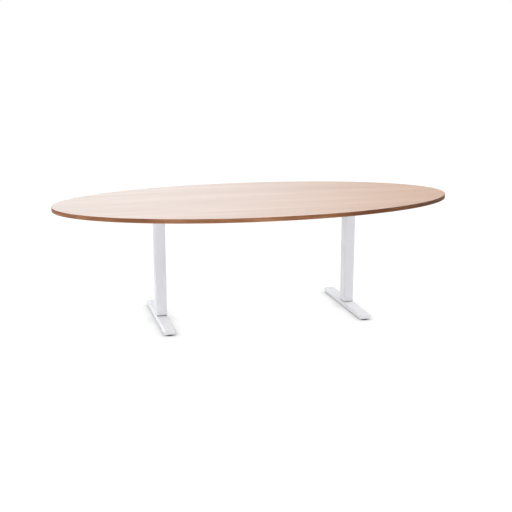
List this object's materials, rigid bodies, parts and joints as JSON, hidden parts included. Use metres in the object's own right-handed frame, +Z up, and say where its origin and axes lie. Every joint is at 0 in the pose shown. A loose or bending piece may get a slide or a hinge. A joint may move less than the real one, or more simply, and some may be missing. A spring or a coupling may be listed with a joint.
{
  "type": "conference table",
  "caption": "Elliptical wood-veneered conference table on electrically height-adjustable column legs with flat T feet, levelling glides and a handset under the edge.",
  "frame": {"origin": "on the floor under the middle of the table top", "axes": "+X along the length of the top, +Y across it to the far long side where the handset is, +Z up"},
  "size_m": [2.4, 1.2, 0.71],
  "materials": {
    "top_veneer": "satin lacquered pale veneer",
    "edge_wood": "satin wooden edge band",
    "board_core": "raw particle board",
    "white_powder_coat": "white satin powder coat on steel",
    "black_plastic": "matt moulded",
    "grey_plastic": "fine textured moulded",
    "zinc_steel": "zinc plated",
    "cast_zinc": "die cast",
    "nut_bronze": "machined",
    "lead_jacket": "smooth cable jacket"
  },
  "bodies": {
    "left_base": {"left_foot": "white_powder_coat", "left_inner_column": "white_powder_coat", "left_column_end_plate": "zinc_steel", "left_upper_bush": "black_plastic", "left_spindle_nut": "nut_bronze", "left_foot_bolt_1": "zinc_steel", "left_foot_bolt_2": "zinc_steel", "left_foot_bolt_3": "zinc_steel", "left_foot_bolt_4": "zinc_steel", "left_front_glide_nut": "zinc_steel", "left_rear_glide_nut": "zinc_steel"},
    "table": {"top_core": "board_core", "top_veneer": "top_veneer", "underside_veneer": "top_veneer", "edge_band": "edge_wood", "front_rail": "white_powder_coat", "rear_rail": "white_powder_coat", "left_support_arm": "white_powder_coat", "left_gearbox": "cast_zinc", "left_motor": "black_plastic", "left_outer_column": "white_powder_coat", "left_lower_bush": "black_plastic", "right_support_arm": "white_powder_coat", "right_gearbox": "cast_zinc", "right_motor": "black_plastic", "right_outer_column": "white_powder_coat", "right_lower_bush": "black_plastic", "control_box": "grey_plastic", "mains_inlet": "black_plastic", "handset": "grey_plastic", "left_motor_lead": "lead_jacket", "right_motor_lead": "lead_jacket", "handset_lead": "lead_jacket"},
    "right_base": {"right_foot": "white_powder_coat", "right_inner_column": "white_powder_coat", "right_column_end_plate": "zinc_steel", "right_upper_bush": "black_plastic", "right_spindle_nut": "nut_bronze", "right_foot_bolt_1": "zinc_steel", "right_foot_bolt_2": "zinc_steel", "right_foot_bolt_3": "zinc_steel", "right_foot_bolt_4": "zinc_steel", "right_front_glide_nut": "zinc_steel", "right_rear_glide_nut": "zinc_steel"},
    "left_screw": {"left_spindle": "zinc_steel"},
    "right_screw": {"right_spindle": "zinc_steel"},
    "left_front_pad": {"left_front_glide_pad": "black_plastic"},
    "left_rear_pad": {"left_rear_glide_pad": "black_plastic"},
    "right_front_pad": {"right_front_glide_pad": "black_plastic"},
    "right_rear_pad": {"right_rear_glide_pad": "black_plastic"},
    "left_front_stud": {"left_front_glide_stud": "zinc_steel"},
    "left_rear_stud": {"left_rear_glide_stud": "zinc_steel"},
    "right_front_stud": {"right_front_glide_stud": "zinc_steel"},
    "right_rear_stud": {"right_rear_glide_stud": "zinc_steel"},
    "down_key": {"down_button": "black_plastic"},
    "up_key": {"up_button": "black_plastic"}
  },
  "joints": [
    {"name": "lift", "type": "slide", "parent": "left_base", "child": "table", "axis": [0, 0, 1], "range_m": [0, 0.46]},
    {"name": "right_lift", "type": "slide", "parent": "table", "child": "right_base", "axis": [0, 0, -1], "range_m": [0, 0.46]},
    {"name": "left_screw_turn", "type": "hinge", "parent": "table", "child": "left_screw", "pos_m": [-0.59, 0, 0.38], "axis": [0, 0, 1], "range_deg": [0, 20700]},
    {"name": "right_screw_turn", "type": "hinge", "parent": "table", "child": "right_screw", "pos_m": [0.59, 0, 0.38], "axis": [0, 0, 1], "range_deg": [0, 20700]},
    {"name": "left_front_level", "type": "slide", "parent": "left_base", "child": "left_front_pad", "axis": [0, 0, -1], "range_m": [0, 0.012]},
    {"name": "left_rear_level", "type": "slide", "parent": "left_base", "child": "left_rear_pad", "axis": [0, 0, -1], "range_m": [0, 0.012]},
    {"name": "right_front_level", "type": "slide", "parent": "right_base", "child": "right_front_pad", "axis": [0, 0, -1], "range_m": [0, 0.012]},
    {"name": "right_rear_level", "type": "slide", "parent": "right_base", "child": "right_rear_pad", "axis": [0, 0, -1], "range_m": [0, 0.012]},
    {"name": "left_front_stud_turn", "type": "hinge", "parent": "left_front_pad", "child": "left_front_stud", "pos_m": [-0.59, -0.307, 0.01], "axis": [0, 0, -1], "range_deg": [0, 3456]},
    {"name": "left_rear_stud_turn", "type": "hinge", "parent": "left_rear_pad", "child": "left_rear_stud", "pos_m": [-0.59, 0.307, 0.01], "axis": [0, 0, -1], "range_deg": [0, 3456]},
    {"name": "right_front_stud_turn", "type": "hinge", "parent": "right_front_pad", "child": "right_front_stud", "pos_m": [0.59, -0.307, 0.01], "axis": [0, 0, -1], "range_deg": [0, 3456]},
    {"name": "right_rear_stud_turn", "type": "hinge", "parent": "right_rear_pad", "child": "right_rear_stud", "pos_m": [0.59, 0.307, 0.01], "axis": [0, 0, -1], "range_deg": [0, 3456]},
    {"name": "down_press", "type": "slide", "parent": "table", "child": "down_key", "axis": [0, -1, 0], "range_m": [0, 0.001], "stiffness_N_per_m": 600},
    {"name": "up_press", "type": "slide", "parent": "table", "child": "up_key", "axis": [0, -1, 0], "range_m": [0, 0.001], "stiffness_N_per_m": 600}
  ],
  "couplings": [
    {"joint": "right_lift", "follows": "lift", "ratio": 1},
    {"joint": "left_screw_turn", "follows": "lift", "rad_per_m": 785.4},
    {"joint": "right_screw_turn", "follows": "lift", "rad_per_m": 785.4},
    {"joint": "left_front_stud_turn", "follows": "left_front_level", "rad_per_m": 5026.5},
    {"joint": "left_rear_stud_turn", "follows": "left_rear_level", "rad_per_m": 5026.5},
    {"joint": "right_front_stud_turn", "follows": "right_front_level", "rad_per_m": 5026.5},
    {"joint": "right_rear_stud_turn", "follows": "right_rear_level", "rad_per_m": 5026.5}
  ]
}
